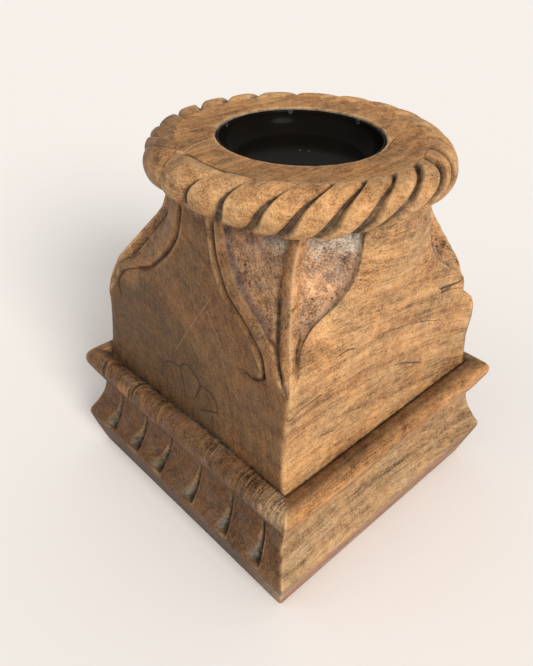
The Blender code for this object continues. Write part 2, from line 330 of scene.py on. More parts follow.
sideStyle = [
    # carved or not, columns, then crest, edge and groove of the half towards each end
    (False, (30, 9, 15, 7), ("crestPlain", "edgeFrontRight", None), ("crestRight", "edgeRight", None)),
    (False, (12, 5, 9, 5), ("crestRight", "edgeFrontRight", None), ("crestPlain", "edgeFrontRight", None)),
    (False, (12, 5, 9, 5), ("crestPlain", "edgeFrontRight", None), ("crestLeft", "edgeFrontRight", None)),
    (True, (22, 22, 16, 7), ("crestLeft", "edgeLeft", "grooveLeft"),
     ("crestPlain", "edgeFrontLeft", "grooveFrontLeft")),
]


def leafPatch(z):
    # all four sides of the die and leaves as one closed ring of columns for each height; the axis
    # moves over to the neck's own middle as it rises
    points, masks, sides = [], [], []
    for side, (carved, counts, low, high) in enumerate(sideStyle):
        place = sideColumns(*counts)
        for style, sign, order in ((low, -1, slice(None, 0, -1)), (high, 1, slice(None, -1))):
            out, along, *found = (grid[:, order] for grid in halfSide(place, z, carved, *style))
            points.append(onSide(side, out, along * sign, z[:, None]))
            masks.append(np.stack(found, -1))
            sides.append(np.full(out.shape[1], side))
    points = np.concatenate(points, 1)
    share = ease(z, block["shiftFrom"], block["neckHeight"] - block["shiftFrom"])
    points[..., :2] += np.array(block["topShift"]) * share[:, None, None]
    return points, np.concatenate(masks, 1), np.concatenate(sides)


plinth = {
    "columns": (96, 60, 60, 156),          # +X, +Y, -X and -Y sides
    # roundness of the upright edges: front, right, back and left
    "cornerRound": (0.0018, 0.0014, 0.0035, 0.0018),
    "waistHalf": 0.1066, "waistHeight": 0.0690, "cymaPower": 1.9,
    "lipHalf": 0.1086, "lipHeight": 0.0712, "noseCentre": 0.1037, "noseHeight": 0.09024,
    "noseRadius": 0.0128, "crownRise": 0.0114, "junctionHalf": 0.1016, "junctionHeight": 0.0995,
    # petal cuts: places of top and foot in millimetres, then their sizes
    "cuts": ((-82, -83), (-47, -50), (-14, -19), (21, 21), (55.5, 60), (87, 94)),
    "cutTopHeight": 0.0702, "cutFootHeight": 0.0362, "cutDepth": 0.0074, "cutLeast": 0.0012,
    "rampWidth": 0.0135, "rampLeast": 0.0013, "wallWidth": 0.0022, "wallLeast": 0.0009,
    # coarse tool marks on the carved side's nosing: place, half width in millimetres, strength
    "chatter": ((-84, 16, 0.9), (-52, 15, 1.0), (-22, 8, 0.5), (38, 7, 0.9), (74, 20, 0.75), (104, 8, 0.5)),
}


def plinthProfile():
    # half width and height from the foot up: chamfer, soft arris, cyma, lip, bevelled nosing
    # with a round nose, and the joint with the die
    foot = np.array([block["footHalf"], 0.0])
    arris = np.array([block["arrisHalf"] + 0.0006, block["arrisHeight"]])
    rise = np.linspace(0, 1, 27)[:, None]
    flare = (arris[0] - plinth["waistHalf"]) * (1 - rise) ** plinth["cymaPower"]
    cyma = np.hstack([plinth["waistHalf"] + flare, arris[1] + (plinth["waistHeight"] - arris[1]) * rise])
    before, after = arris + (foot - arris) * 0.13, cyma[3]
    t = np.linspace(0, 1, 8)[:, None]
    softArris = (1 - t) ** 2 * before + 2 * t * (1 - t) * arris + t ** 2 * after
    chamfer = foot + (before - foot) * np.linspace(0, 1, 6)[:-1, None]
    lip = np.array([plinth["lipHalf"], plinth["lipHeight"]])
    angle = np.radians(np.linspace(-20, 86, 18))
    up = np.where(angle > 0, plinth["crownRise"], plinth["noseRadius"])
    nose = np.stack([plinth["noseCentre"] + plinth["noseRadius"] * np.cos(angle),
                     plinth["noseHeight"] + up * np.sin(angle)], -1)
    bevel = lip + (nose[0] - lip) * np.linspace(0, 1, 7)[:-1, None]
    joint = np.array([plinth["junctionHalf"], plinth["junctionHeight"]])
    return np.concatenate([chamfer, softArris, cyma[4:], bevel, nose, [joint + (0.0008, 0.0010), joint]])


def petalFall(z):
    # 0 at the top of the petal cuts, 1 at their foot
    return np.clip((plinth["cutTopHeight"] - z) / (plinth["cutTopHeight"] - plinth["cutFootHeight"]), 0, 1)


def petalLean(z):
    # share of each cut's lean reached at a height, fading out again below the arris
    return petalFall(z) * ease(z, 0.012, 0.02)


def plinthPatch():
    # The profile carried round a square whose corners are worn round. On the carved side the
    # columns crowd towards the petal cuts and lean with them.
    rows = plinthProfile()
    half, z = rows[:, :1], rows[:, 1:]
    points, sides = [], []
    rounds = plinth["cornerRound"]
    for side, count in enumerate(plinth["columns"]):
        fine = np.linspace(-1, 1, 2001)
        crowd = np.ones(2001)
        if side == 3:
            crowd += sum(2.4 * bump(fine * 105.5, top - 2.0, 5.0) for top, _ in plinth["cuts"])
        reached = np.concatenate([[0], np.cumsum((crowd[1:] + crowd[:-1]) / 2)])
        inner = np.interp(np.linspace(0, reached[-1], count - 5), reached, fine)
        pitch = 2 / (count - 6)
        f = np.sort(np.concatenate([inner[1:-1], -1 + pitch * np.array([0, 0.25, 0.5]),
                                    1 - pitch * np.array([0.25, 0.5])]))[None, :]
        worn = np.where(f < 0, rounds[side], rounds[(side + 1) % 4])
        straight = half - worn
        run = f * (straight + worn * math.pi / 4)
        beta = np.clip((np.abs(run) - straight) / worn, 0, math.pi / 4)
        out = straight + worn * np.cos(beta)
        along = np.where(beta > 0, np.sign(run) * (straight + worn * np.sin(beta)), run)
        if side == 3:
            leans = [(-106, 0), (106, 0)] + [(top, foot - top) for top, foot in plinth["cuts"]]
            along = along + through(leans, along * 1000) / 1000 * petalLean(z)
        points.append(onSide(side, out, along, z))
        sides.append(np.full(f.shape[1], side))
    return np.concatenate(points, 1), np.concatenate(sides)


def petalCuts(points, sides):
    # Depth of the tear-shaped cuts between the petals: a ramp on the left that widens with the cube
    # of the fall, a steep wall on the right, deepest at the foot. Also masks of cut and ramp.
    x, z = points[..., 0] * 1000, points[..., 2]
    fall = petalFall(z)
    live = ease(z, plinth["cutFootHeight"] - 0.0016, 0.0022) * (z < plinth["lipHeight"]) * (sides == 3)

    def grown(least, most, power):
        return plinth[least] + (plinth[most] - plinth[least]) * fall ** power

    depth = grown("cutLeast", "cutDepth", 1.4) * live
    ramp = grown("rampLeast", "rampWidth", 3) * 1000
    wall = grown("wallLeast", "wallWidth", 1) * 1000
    deepest, rampMask, near = np.zeros(x.shape), np.zeros(x.shape), np.zeros(x.shape)
    for top, foot in plinth["cuts"]:
        off = x - (top + (foot - top) * petalLean(z))
        slope = np.clip(1 + off / ramp, 0, 1) * (off < 0)
        deepest = np.maximum(deepest, np.where(off < 0, slope ** 1.2, np.clip(1 - off / wall, 0, 1)))
        rampMask = np.maximum(rampMask, ease(slope * 2.5) * ease(slope, 0.80, -0.35) * fall ** 1.5)
        near += bump(off, 0, 9)
    swell = 0.0006 * (1 - np.clip(near, 0, 1)) * np.sin(math.pi * fall) * (sides == 3)
    return deepest * depth - swell, deepest * live, rampMask * live


rope = {
    "ringRadius": 0.08623, "radius": 0.0156, "height": 0.26761, "rows": 42, "perStrand": 28,
    "footAngle": -82, "topAngle": 108, "lift": 0.005,
    "lobeDrop": 0.0009, "grooveDepth": 0.0036, "steepSide": 1.2, "softSide": 4.6,
    # the grooves in view: bearing low, halfway and high on the rope, half width of the floor below
    "seen": [(-146, -136, -120, 0.4), (-134, -126, -108, 0.3), (-101, -101, -104, 0.3),
             (-88, -85, -78, 0.9), (-74, -71, -65, 1.1), (-62, -57, -48, 1.1), (-51, -45, -35, 1.2),
             (-38, -32, -22, 1.4), (-25, -19, -8, 1.9), (-17, -5, 7, 2.6), (-4, 12, 18, 2.4),
             (9, 22, 31, 1.6)],
    # the others: bearing high on the rope, from which each falls back by the same lean
    "hidden": (45, 60, 76, 90, 104, 120, 140, 159, 175, 191, 207, 223), "hiddenLean": (22, 9),
}


def ropePatch():
    # Strands laid round a ring. Columns follow the grooves, whose bearings bend with the tilt. Each
    # strand starts at a steep wall, swells and falls softly into the floor of the next groove.
    tilt = np.linspace(rope["footAngle"], rope["topAngle"], rope["rows"])
    back = [(top - rope["hiddenLean"][0], top - rope["hiddenLean"][1], top, 0.5) for top in rope["hidden"]]
    table = np.array(rope["seen"] + back, float)
    grooves = np.stack([through([(-82, low - 4), (-45, low), (30, mid), (95, top), (108, top + 1.5)], tilt)
                        for low, mid, top, _ in table], -1)
    grooves = np.concatenate([grooves, grooves[:, :1] + 360], 1)
    tilt = tilt[:, None]
    u = np.linspace(0, 1, rope["perStrand"], endpoint=False)
    place = u - 0.80 * np.sin(2 * math.pi * u) / (2 * math.pi)
    width = grooves[:, 1:] - grooves[:, :-1]
    bearing = grooves[:, :-1, None] + width[..., None] * place
    floor = np.append(table[:, 3], table[0, 3])
    floor = floor + (0.35 - 0.85 * floor) * ease(tilt, -40, 90)
    hollow = 1 + 0.7 * bump(np.arange(len(table) + 1), 10.5, 1.6) * ease(tilt, 50, 30)
    depth = (rope["grooveDepth"] * hollow * (0.22 + 0.78 * ease(tilt, -74, 44))
             * (1 - 0.7 * ease(tilt, 92, 16)))
    past = bearing - grooves[:, :-1, None] - floor[:, :-1, None]
    fromLow = 1 - ease(past, 0, rope["steepSide"])
    soft = np.minimum(rope["softSide"], width * 0.42)[..., None]
    gap = np.clip((grooves[:, 1:, None] - bearing - floor[:, 1:, None]) / soft, 0, 1)
    sink = fromLow * depth[:, :-1, None] + (1 - gap) ** 1.8 * depth[:, 1:, None]
    crown = np.abs(2 * place ** 0.85 - 1) ** 2.2 * rope["lobeDrop"] * (width / 16)[..., None]
    # the third grid marks each groove's flanks for painted shade with dirt, the fourth each lobe's crest for
    # wear with a painted highlight
    radius, turn, dirt, edge = (grid.reshape(len(tilt), -1) for grid in (
        rope["radius"] - crown - sink, np.radians(bearing),
        np.maximum(fromLow, ease(gap, 0.24, -0.24)), bump(past, 1.5, 0.8)))
    phi = np.radians(tilt)
    share = (tilt - rope["footAngle"]) / (rope["topAngle"] - rope["footAngle"])
    lift = rope["lift"] * (1 + np.cos(4 * turn)) / 2 * (1 - ease(share))
    points = roundNeck(rope["ringRadius"] + radius * np.cos(phi), turn,
                       rope["height"] + radius * np.sin(phi) + lift)
    return points, dirt, edge


topRing = {"edgeRadius": 0.0811, "mouthRadius": 0.0552, "mouthWear": 0.0012, "floorHeight": 0.26441,
           "columns": 320, "flatRows": 15, "paleEdge": 0.0802}


def ringPatch():
    # flat ring from the rope in to the mouth, a worn mouth edge, then the wall down to the floor
    wear, mouth, top = topRing["mouthWear"], topRing["mouthRadius"], block["topHeight"]
    turn = np.radians((30, 60, 90))
    radii = np.concatenate([np.linspace(topRing["edgeRadius"], mouth + wear, topRing["flatRows"]),
                            mouth + wear * (1 - np.sin(turn)), np.full(4, mouth)])
    heights = np.concatenate([np.full(topRing["flatRows"], top), top - wear * (1 - np.cos(turn)),
                              np.linspace(top - wear, topRing["floorHeight"], 5)[1:]])
    bearing = np.radians(-45 + 360 * np.arange(topRing["columns"]) / topRing["columns"])
    return roundNeck(radii[:, None], bearing[None, :], heights[:, None])


def turnOf(ring, centre):
    # bearing of each point as a share of a turn, starting at the front corner
    angle = np.arctan2(ring[:, 1] - centre[1], ring[:, 0] - centre[0]) + math.pi / 4
    return np.mod(angle / (2 * math.pi) + 1e-4, 1.0) - 1e-4


# Incised lines, cracks and scratches, in millimetres on their own face: points, half width,
# depth, and tone from 0 for a pale scratch to 1 for a dark cut
strokes = {
    "carved": [
        # tail and hook of the two leaf borders
        ([(-57, 191), (-73, 184), (-82, 176), (-85.5, 168), (-83, 160)], 1.1, 1.5, 0.85),
        ([(-67, 163.5), (-67, 155.5)], 0.5, 0.2, 0.7),
        ([(72.5, 175), (69.5, 169.5), (62, 167), (56.5, 168.8)], 0.9, 1.9, 0.95),
        # crossing scratches
        ([(19.5, 202.5), (2.5, 175), (-13.5, 147)], 0.20, 0.15, 0.35),
        ([(-20, 150.5), (-20.5, 134.5)], 0.14, 0.1, 0.35),
        ([(11, 200), (30, 178), (38, 160)], 0.12, 0.05, 0.4),
        # the half flower: four petals and the lines between them
        ([(-29.5, 119), (-29.5, 127), (-22, 133), (-9.5, 135)], 0.55, 0.4, 0.85),
        ([(-9.5, 135), (-6.5, 126), (-4.5, 117)], 0.55, 0.7, 0.95),
        ([(-9.5, 135), (-5, 140), (3, 140), (13, 132.5)], 0.6, 0.8, 0.95),
        ([(13, 132), (11, 126), (8.5, 119)], 0.8, 0.9, 1.0),
        ([(13, 132), (23, 132.5), (31, 127), (32, 119.5)], 0.6, 0.7, 0.95),
        ([(32, 119.5), (25, 116.5), (16.5, 112)], 0.55, 0.6, 0.9),
        ([(32, 119.5), (37, 117.5), (40.5, 114)], 0.5, 0.4, 0.8),
        ([(-8, 113), (5.5, 116)], 0.35, 0.1, 0.8),
        # growth ring crack and checks beside the front corner
        ([(21, 152.5), (27, 143), (38, 128), (49, 124.5)], 0.3, 0.15, 0.7),
        ([(35.5, 167.5), (42, 172.5), (48, 178)], 0.3, 0.1, 0.6),
        ([(83, 148.5), (90, 154)], 0.35, 0.2, 0.6),
        ([(83.5, 144.5), (90, 150)], 0.35, 0.2, 0.6),
        ([(88, 122), (94, 126)], 0.35, 0.2, 0.55),
    ],
    "plain": [
        # the long crack near the front corner, pale towards its end, and two above it
        ([(-98, 155.5), (-92, 157), (-84, 159.5), (-68, 160.2)], 0.45, 0.4, 0.95),
        ([(-66, 160), (-41, 159), (-27, 159)], 0.40, 0.3, 0.0),
        ([(-58, 192), (-30, 190), (-3, 186), (19, 184)], 0.30, 0.2, 0.0),
        ([(-9, 177), (26, 169), (60, 155.5)], 0.22, 0.2, 0.8),
        # short checks
        ([(-51.5, 180.5), (-45, 181), (-38.5, 179.5)], 0.5, 0.35, 0.9),
        ([(-67, 127), (-56.5, 125)], 0.40, 0.2, 0.8),
        ([(-44, 132), (-25, 127)], 0.35, 0.2, 0.7),
        ([(-99, 116.5), (-87, 112)], 0.35, 0.2, 0.0),
        ([(-60, 147.5), (-45, 146.5)], 0.30, 0.15, 0.7),
        ([(7, 143.5), (15, 141), (36.5, 130.5)], 0.6, 0.25, 0.8),
        # fissures at the knot
        ([(54, 184), (73, 180), (81, 180)], 0.8, 0.7, 0.9),
        ([(55.5, 180), (64.5, 179)], 0.5, 0.4, 0.9),
    ],
    "ring": [
        # the thin pale edge left beside the rope, from its front round to the right
        ([1000 * roundNeck(topRing["paleEdge"], turn, 0)[:2] for turn in np.linspace(-1.1, 0.5, 9)],
         0.35, 0.1, 0.0),
        # an old joint line, the cut round the edge at the front, and a check beside the mouth
        ([(-27.5, -45), (-27.5, -54), (-25, -66), (-20, -76)], 0.45, 0.2, 0.05),
        ([(-15, -76), (2, -77.8), (16, -76.5), (28, -72.5)], 0.9, 0.9, 0.95),
        ([(48, 40.5), (51.5, 31.5), (55.5, 24)], 0.5, 0.4, 1.0),
    ],
}


def strokeMasks(patches):
    # For each patch of (across, up, where it counts, strokes): the depth of the lines, and for the
    # finish the signed distance to the nearest one in line widths, how near it is, and its tone.
    shape = patches[0][0].shape
    depth, nearest = np.zeros(shape), np.full(shape, 99.0)
    signed, tone = np.full(shape, 9.0), np.ones(shape)
    for across, up, here, lines in patches:
        for path, width, deep, shade in lines:
            gap = strokeDistance(across * 1000, up * 1000, path)
            beyond = np.abs(gap) - width
            depth = np.maximum(depth, here * deep / 1000 * bump(gap, 0, width + 0.5))
            closer = here & (beyond < nearest)
            nearest = np.where(closer, beyond, nearest)
            signed = np.where(closer, gap / width, signed)
            tone = np.where(closer, shade, tone)
    return depth, signed, 1 - ease(nearest, 1.5, 1.4), tone


# How the hand-cut joint and nosing stray from level, in metres at the four corners
stray = {
    "joint": {"left": -0.0040, "front": -0.0018, "right": 0.0006, "rear": 0.0},
    "nose": {"left": 0.0004, "front": 0.0, "right": 0.0018, "rear": 0.0018},
    "jointBow": 0.0036, "bowAt": 0.028, "bowWidth": 0.045,
    # lean of the front corner's edge to the left: (height, distance) in millimetres
    "frontLean": [(95, 0), (102, 0.8), (130, 1.3), (150, 0.9), (170, 0.1), (185, 0.9), (200, 1.8),
                  (235, 1.8), (250, 0)],
    "leanWidth": 0.030, "rightOut": 0.0013,
}


def cornerBlend(points, values):
    # value at each point, blended between the four corners
    x = np.clip(points[..., 0] / 0.2 + 0.5, 0, 1)
    y = np.clip(points[..., 1] / 0.2 + 0.5, 0, 1)
    return ((1 - x) * (1 - y) * values["left"] + x * (1 - y) * values["front"]
            + x * y * values["right"] + (1 - x) * y * values["rear"])


def strayFromLevel(points, jointShare):
    # lifts the nosing and the joint by their own amounts; the joint of the carved side also bows
    x, y, z = points[..., 0].copy(), points[..., 1].copy(), points[..., 2]
    nose = cornerBlend(points, stray["nose"]) * ease(z, 0.072, 0.014)
    bow = stray["jointBow"] * bump(x, stray["bowAt"], stray["bowWidth"]) * ease(y, -0.085, -0.012)
    joint = cornerBlend(points, stray["joint"]) + bow
    points[..., 2] += nose * (1 - jointShare) + joint * jointShare
    # above the arris the right corner stands a little further out
    share = ease(x, 0.03, 0.08) * ease(y, 0.03, 0.08) * ease(z, 0.036, 0.012) * ease(z, 0.102, -0.006)
    points[..., :2] += (stray["rightOut"] * share)[..., None]


def leanFrontCorner(points):
    # the front corner's edge leans to the left as it rises
    lean = through(stray["frontLean"], points[..., 2] * 1000) / 1000
    away = (points[..., 0] + points[..., 1]) / math.sqrt(2)
    share = (points[..., 0] > 0) * (points[..., 1] < 0) * bump(away, 0, stray["leanWidth"])
    points[..., :2] -= (lean * share)[..., None]


def noiseSum(points, *layers):
    # sum of random fields, each of (height, cell size, seed)
    return sum(height * cloudNoise(points, size, seed) for height, size, seed in layers)


def handWander(points):
    # slow and quick unevenness left by the hand tools, in metres
    return noiseSum(points, (0.00045, 0.034, 3), (0.00020, 0.012, 4), (0.00007, 0.0042, 5))


def shapeBlock():
    # The four patches with their relief, moved along each point's own normal, and the masks that
    # the finish needs
    low, lowSides = plinthPatch()
    rows = np.concatenate([np.linspace(block["dieFootHeight"] - 0.0004, 0.153, 32)[:-1],
                           np.linspace(0.153, block["neckHeight"], 66)])
    mid, midMasks, midSides = leafPatch(rows)
    cord, cordShadeAndDirt, cordCrestWearAndHighlight = ropePatch()
    top = ringPatch()
    dirt, panel, rib, panelEdge = np.moveaxis(midMasks, -1, 0)

    cut, cutMask, ramp = petalCuts(low, lowSides)
    chatter = sum(share * bump(low[..., 0] * 1000, at, width) for at, width, share in plinth["chatter"])
    chatter = np.clip(chatter * (1 + 0.8 * cloudNoise(low, 0.012, 9)), 0, 1)
    chatter = chatter * ease(low[..., 2], plinth["lipHeight"], 0.004) * (lowSides == 3)
    chisel = chatter * noiseSum(low, (0.00075, (0.0027, 0.02, 0.012), 8),
                                (0.00060, (0.0016, 0.02, 0.008), 18))
    wander = handWander(low) * ease(low[..., 2], 0.002, 0.006)
    low = low - gridNormals(low) * (cut - chisel - wander)[..., None]

    across, along, up = np.moveaxis(mid, -1, 0)
    midLines = strokeMasks([(across, up, (midSides == 3) & (up > 0), strokes["carved"]),
                            (along, up, (midSides == 0) & (up > 0), strokes["plain"])])
    rough = (panel * noiseSum(mid, (0.00022, 0.0032, 12), (0.00035, 0.009, 17))
             + rib * noiseSum(mid, (0.00030, (0.02, 0.02, 0.0030), 13)))
    mid = mid + gridNormals(mid) * (handWander(mid) - midLines[0] + rough)[..., None]

    cord = cord + gridNormals(cord) * (handWander(cord) + noiseSum(cord, (0.00018, 0.006, 14)))[..., None]
    cord[..., 2] = np.minimum(cord[..., 2], block["crownTop"])

    onFlat = np.zeros(top.shape[:2], bool)
    onFlat[:topRing["flatRows"]] = True
    topLines = strokeMasks([(top[..., 0], top[..., 1], onFlat, strokes["ring"])])
    top[..., 2] += onFlat * (noiseSum(top, (0.00014, (0.004, 0.03, 0.02), 15)) - 0.00015 - topLines[0])
    ragged = np.abs(noiseSum(top, (0.0006, (0.006, 0.006, 0.02), 16))) * ~onFlat
    outward = top[..., :2] - np.array(block["topShift"])
    top[..., :2] += outward / np.linalg.norm(outward, axis=-1, keepdims=True) * ragged[..., None]

    rowShare = np.zeros((len(low), 1))
    rowShare[-8:, 0] = ease(np.linspace(0.1, 1, 8))
    strayFromLevel(low, rowShare)
    strayFromLevel(mid, 1 - ease(mid[..., 2], 0.100, 0.045))
    leanFrontCorner(mid)
    limit = block["arrisHalf"] - 0.00005
    low[..., :2] = np.clip(low[..., :2], -limit, limit)
    low[..., 2] = np.maximum(low[..., 2], 0)
    wall = np.zeros(top.shape[:2])
    wall[topRing["flatRows"] + 2:] = 1
    masks = {"cut": cutMask, "ramp": ramp, "chatter": chatter, "dirt": dirt, "panel": panel,
             "panelEdge": panelEdge, "rib": rib, "cordShadeAndDirt": cordShadeAndDirt, "cordCrestWearAndHighlight": cordCrestWearAndHighlight, "wall": wall,
             "midLines": midLines[1:], "topLines": topLines[1:]}
    for name, sides, grid in (("low", lowSides, ramp), ("mid", midSides, rib)):
        for kind, here in (("Plain", sides == 0), ("Carved", sides == 3), ("Ends", sides % 2 == 1)):
            masks[name + kind] = here + np.zeros(grid.shape)
    return [low, mid, cord, top], masks


# Colours of the wood from place to place, among them painted shade and painted highlights, in linear light
stain = {
    "plainDie": (0.415, 0.230, 0.103), "carvedDie": (0.166, 0.084, 0.034), "carvedLow": (0.108, 0.058, 0.023),
    "hiddenDie": (0.29, 0.16, 0.075), "rope": (0.44, 0.245, 0.108), "ropeGrooveShade": (0.14, 0.083, 0.044),
    "ring": (0.355, 0.178, 0.066), "recess": (0.20, 0.18, 0.15), "rib": (0.43, 0.235, 0.110),
    "band": (0.245, 0.130, 0.060), "panelPlain": (0.42, 0.240, 0.136), "panelCarved": (0.262, 0.143, 0.073),
    "petal": (0.124, 0.059, 0.023), "nosingCarved": (0.155, 0.078, 0.033), "fascia": (0.35, 0.215, 0.108),
    "ledge": (0.165, 0.083, 0.033), "nosingHighlight": (0.44, 0.215, 0.078), "footPlain": (0.28, 0.155, 0.090),
    "ramp": (0.17, 0.155, 0.115), "deepCutShade": (0.026, 0.040, 0.039), "panelEdgeShade": (0.095, 0.062, 0.060),
    "orange": (0.48, 0.17, 0.045), "tan": (0.42, 0.27, 0.145), "knot": (0.25, 0.13, 0.06),
    "carvedFootShade": (0.055, 0.030, 0.016), "ringLight": (0.43, 0.225, 0.085), "ringDark": (0.26, 0.130, 0.048),
    "paintedRopeShade": (0.22, 0.125, 0.060), "bloomAndSheen": (0.42, 0.42, 0.38),
    # spots on the carved side's plinth: place, size, colour, share
    "spots": (((-0.062, -0.113, 0.088), 0.007, "orange", 0.6),
              ((-0.028, -0.113, 0.086), 0.006, "orange", 0.7),
              ((0.104, -0.112, 0.096), 0.013, "tan", 0.8),
              ((0.118, -0.116, 0.010), 0.018, "tan", 0.7)),
}


def coat(base, *layers):
    # lays one stain over another, each by its own share
    tint = np.array(stain[base])
    for name, share in layers:
        share = np.clip(share, 0, 1)[..., None]
        tint = tint * (1 - share) + np.array(stain[name]) * share
    return tint


def bearingOf(points):
    return np.degrees(np.arctan2(points[..., 1], points[..., 0]))


def colourBlock(patches, m):
    # stain of every point of the four patches, with painted shade and painted highlights in places
    low, mid, cord, top = patches
    x, z = low[..., 0], low[..., 2]
    plain, carved = m["lowPlain"], m["lowCarved"]
    ragged = 0.0018 * cloudNoise(low, (0.012, 0.03, 0.012), 21)
    nose = ease(z + ragged, plinth["lipHeight"], 0.004)
    ledgeRow = np.zeros((len(low), 1))
    ledgeRow[-13:, 0] = ease(np.linspace(0, 1, 13) * 2)
    spots = []
    for spot, size, colour, share in stain["spots"]:
        gap = np.linalg.norm(low - np.array(spot), axis=-1) + 0.003 * cloudNoise(low, 0.006, 23)
        spots.append((colour, share * carved * bump(gap, 0, size)))
    lowTint = coat("petal", ("hiddenDie", (1 - plain - carved) * 0.7), ("nosingCarved", carved * nose),
                   # painted shade: the deep foot of each petal cut is darkened to dark teal
                   # the pale ramp colour is dusty residue and painted light where each cut's ramp faces the
                   # light
                   ("deepCutShade", m["cut"] ** 2 * 0.9), ("ramp", m["ramp"] * 0.75), *spots, ("fascia", plain),
                   # painted highlight: orange along the plain side's lit nose
                   ("nosingHighlight", plain * nose * ease(z, 0.080, 0.006) * 0.8),
                   ("ledge", plain * ledgeRow * (0.8 + 0.2 * ease(z + ragged, 0.0955, 0.004))),
                   ("footPlain", plain * ease(z, 0.034, -0.004)),
                   # painted shade darkening the carved side's chamfer below the arris
                   ("carvedFootShade", carved * ease(z, 0.034, -0.008) * ease(x, 0.09, -0.03) * 0.7))

    x, y, z = np.moveaxis(mid, -1, 0)
    plain, carved = m["midPlain"], m["midCarved"]
    # greyer wood inside the growth ring that crosses the carved face
    growth = np.hypot(x + 0.060, z - 0.090) + 0.006 * cloudNoise(mid, 0.03, 24)
    bands = [("band", carved * ease(x * sign - grooveLine(groove, z * 1000), 0, 0.004)
              * ease(z, 0.168, 0.015) * 0.75)
             for sign, groove in ((1, "grooveFrontLeft"), (-1, "grooveLeft"))]
    # bloom and painted sheen: pale blue-grey on the panels' upper parts
    bloomAndSheen = m["panel"] * ease(z, 0.232, 0.012) * ease(x, 0.038, 0.016)
    midTint = coat("hiddenDie", ("plainDie", plain), ("carvedDie", carved),
                   ("carvedLow", carved * ease(growth, 0.104, -0.02)), *bands,
                   ("knot", plain * 0.5 * bump(np.hypot(y - 0.022, (z - 0.139) * 2.2), 0, 0.016)),
                   ("panelPlain", plain * m["panel"]), ("panelCarved", carved * m["panel"]),
                   # painted shade: dark purple-brown just inside each panel's edge, under its drop
                   ("panelEdgeShade", carved * m["panelEdge"] * ease(z, 0.185, 0.03) * 0.75),
                   ("panelEdgeShade", plain * m["panelEdge"] * 0.35),
                   ("bloomAndSheen", bloomAndSheen * (0.30 + 0.35 * cloudNoise(mid, 0.010, 31))),
                   ("rib", m["rib"] * (plain * 0.9 + carved * 0.55)))

    # painted shade makes the rope darker on its left, away from the light; the flat ring is paler there and
    # duller in front
    cordTint = coat("rope", ("paintedRopeShade", bump(bearingOf(cord), -132, 36) * 0.9),
                    # painted shade with dirt down the flanks of each groove
                    ("ropeGrooveShade", m["cordShadeAndDirt"] * 0.9))
    bearing = bearingOf(top)
    topTint = coat("ring", ("ringLight", bump(np.abs(bearing), 180, 60) * 0.8),
                   ("ringDark", bump(bearing, -55, 38) * 0.7), ("recess", m["wall"]))
    return [lowTint, midTint, cordTint, topTint]


def maskBlock(patches, m):
    # grime with painted shade in hollows, grooves, cuts, the recess and under the rope, pale residue with
    # painted sheen, and wear, from the carving and from how the surface bends
    low, mid = patches[:2]
    joint = np.zeros((len(low), 1))
    joint[-3:, 0] = (0.5, 0.9, 1.0)
    x, z = mid[..., 0], mid[..., 2]
    foot = bump(z, mid[:1, :, 2], 0.0012)
    # painted shade in the petal cuts and just under the rope, dark joints at the plinth's top and the die's
    # foot, painted shade with dirt in the grooves, the rope and the recess
    shadesAndDirt = [np.maximum(m["cut"] * 0.7, joint), m["dirt"] * 0.8 + ease(z, 0.244, 0.006) * 0.45 + foot * 0.8,
             m["cordShadeAndDirt"] * 0.75, m["wall"] * 0.4]
    grimeAndShade, worn = [], []
    for patch, dirt in zip(patches, shadesAndDirt):
        bend = gridBend(patch, gridNormals(patch))
        # painted shade: hollows darken further the more sharply the surface bends
        grimeAndShade.append(np.clip(np.clip(dirt, 0, 1) + ease(bend, 0, 700) * 0.6, 0, 1))
        worn.append(ease(-bend, 60, 500))
    # wear and a painted highlight: a pale line along each lobe's crest
    worn[2] = np.maximum(worn[2] * 0.6, m["cordCrestWearAndHighlight"] * 0.8)
    # bloom and painted sheen on the panels' upper parts, added to the residue
    bloomAndSheen = m["panel"] * ease(z, 0.220, 0.016) * ease(x, 0.034, 0.018)
    residueAndSheen = [np.clip(m["cut"] * 0.65 + m["ramp"] * 0.5 + joint * (0.2 + 0.5 * m["lowCarved"]), 0, 1),
               np.clip(m["dirt"] * 0.45 + bloomAndSheen * 0.95, 0, 1), m["cordShadeAndDirt"] * 0.22, m["wall"] * 0.7]
    return grimeAndShade, residueAndSheen, worn


def makePiece(name, verts, quads, tris, finish):
    # a smooth mesh in the scene, with its finish
    mesh = bpy.data.meshes.new(name)
    loops = np.concatenate([quads.ravel(), tris.ravel()]).astype(np.int32)
    sizes = np.repeat((4, 3), (len(quads), len(tris)))
    mesh.vertices.add(len(verts))
    mesh.vertices.foreach_set("co", verts.astype(np.float32).ravel())
    mesh.loops.add(len(loops))
    mesh.loops.foreach_set("vertex_index", loops)
    mesh.polygons.add(len(sizes))
    mesh.polygons.foreach_set("loop_start", (np.cumsum(sizes) - sizes).astype(np.int32))
    mesh.update(calc_edges=True)
    mesh.polygons.foreach_set("use_smooth", np.ones(len(sizes), bool))
    mesh.materials.append(finish)
    piece = bpy.data.objects.new(name, mesh)
    bpy.context.scene.collection.objects.link(piece)
    return piece


